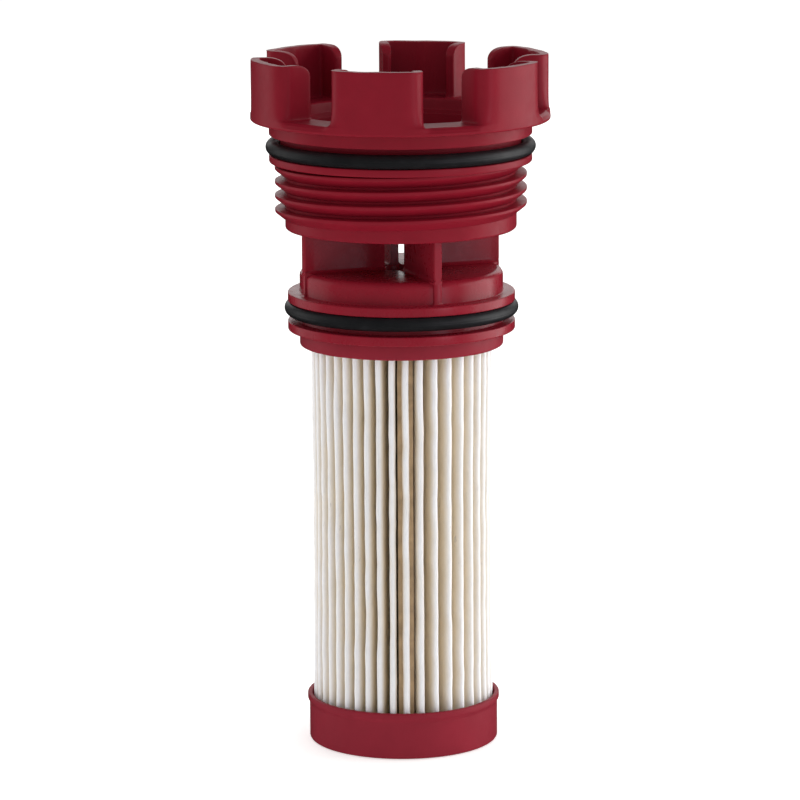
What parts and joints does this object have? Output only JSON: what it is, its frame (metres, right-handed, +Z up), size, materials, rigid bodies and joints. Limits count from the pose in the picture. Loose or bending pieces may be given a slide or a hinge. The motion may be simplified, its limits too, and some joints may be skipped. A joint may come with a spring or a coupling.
{
  "type": "fuel filter",
  "caption": "Cartridge fuel filter: a threaded cap with a castellated wrench crown and two O-ring seals, over a pleated paper element.",
  "frame": {"origin": "centre of the bottom end cap's flat base, on the filter's axis", "axes": "+Z up the filter's axis from the bottom end cap to the crown; the four vanes lie on X and Y, and two of the crown's slots face -Y and +Y"},
  "size_m": [0.0636, 0.0636, 0.1478],
  "materials": {
    "cap_nylon": "semi-gloss moulded",
    "cage_nylon": "gloss moulded",
    "end_cap_nylon": "satin moulded",
    "core_nylon": "satin moulded",
    "o_ring_rubber": "satin",
    "filter_paper": "matte paper",
    "adhesive": "satin cured adhesive"
  },
  "bodies": {
    "root": {"threaded_cap": "cap_nylon", "upper_o_ring": "o_ring_rubber", "outlet_cage": "cage_nylon", "lower_o_ring": "o_ring_rubber", "top_end_cap": "end_cap_nylon", "top_potting": "adhesive", "pleated_media": "filter_paper", "media_seam": "adhesive", "core_tube": "core_nylon", "bottom_potting": "adhesive", "bottom_end_cap": "end_cap_nylon"}
  },
  "joints": []
}
